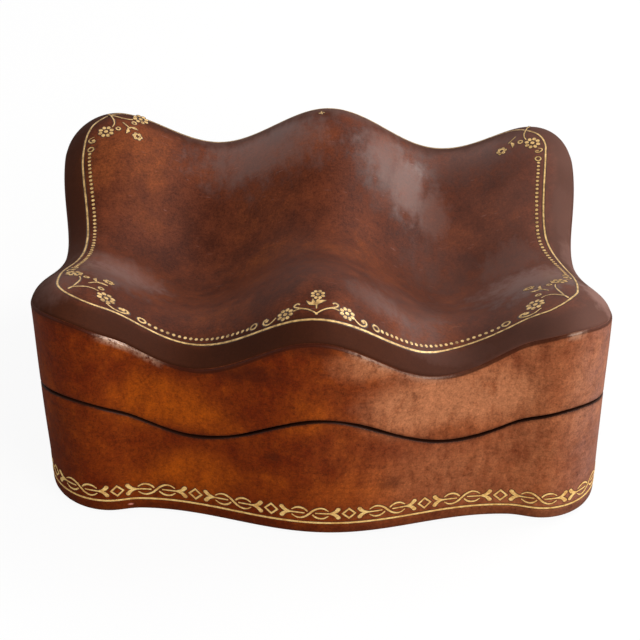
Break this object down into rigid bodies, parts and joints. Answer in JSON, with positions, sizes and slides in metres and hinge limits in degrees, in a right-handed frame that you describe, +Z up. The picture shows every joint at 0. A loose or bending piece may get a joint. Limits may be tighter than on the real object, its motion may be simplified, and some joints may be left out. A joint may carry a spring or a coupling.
{
  "type": "leather box",
  "caption": "Serpentine leather-covered box with a double-waved hinged lid, wood frame, suede lining and brass butt hinges.",
  "frame": {"origin": "on the ground at the middle of the width, midway between the front corners and the straight back", "axes": "+Z up, the front of the box looks along -Y, X across the width"},
  "size_m": [0.2346, 0.1879, 0.1058],
  "materials": {
    "frame_wood": "plain sanded softwood",
    "wall_leather": "antiqued chestnut calf, waxed",
    "top_leather": "antiqued dark brown calf, waxed",
    "gold_tooling": "stamped gold leaf",
    "suede": "brown suede lining",
    "card": "grey board",
    "hinge_brass": "lacquered brass"
  },
  "bodies": {
    "base": {"base_front_rail": "frame_wood", "base_back_rail": "frame_wood", "base_left_rail": "frame_wood", "base_right_rail": "frame_wood", "base_corner_blocks": "frame_wood", "base_bottom_board": "frame_wood", "base_side_leather": "wall_leather", "base_underside_sheet": "suede", "base_lip": "frame_wood", "base_wall_lining": "suede", "base_floor_card": "card", "base_floor_pad": "suede", "left_hinge_base_leaf": "hinge_brass", "right_hinge_base_leaf": "hinge_brass", "left_hinge_pin": "hinge_brass", "right_hinge_pin": "hinge_brass", "base_hinge_screws": "hinge_brass"},
    "lid": {"lid_front_rail": "frame_wood", "lid_back_rail": "frame_wood", "lid_left_rail": "frame_wood", "lid_right_rail": "frame_wood", "lid_corner_blocks": "frame_wood", "lid_top_board": "frame_wood", "lid_side_leather": "wall_leather", "lid_top_leather": "top_leather", "lid_wall_lining": "suede", "lid_top_lining": "suede", "left_hinge_lid_leaf": "hinge_brass", "right_hinge_lid_leaf": "hinge_brass", "lid_hinge_screws": "hinge_brass"}
  },
  "joints": [
    {"name": "lid_hinge", "type": "hinge", "parent": "base", "child": "lid", "pos_m": [0, 0.08807, 0.04403], "axis": [-1, 0, 0], "range_deg": [0, 100]}
  ]
}
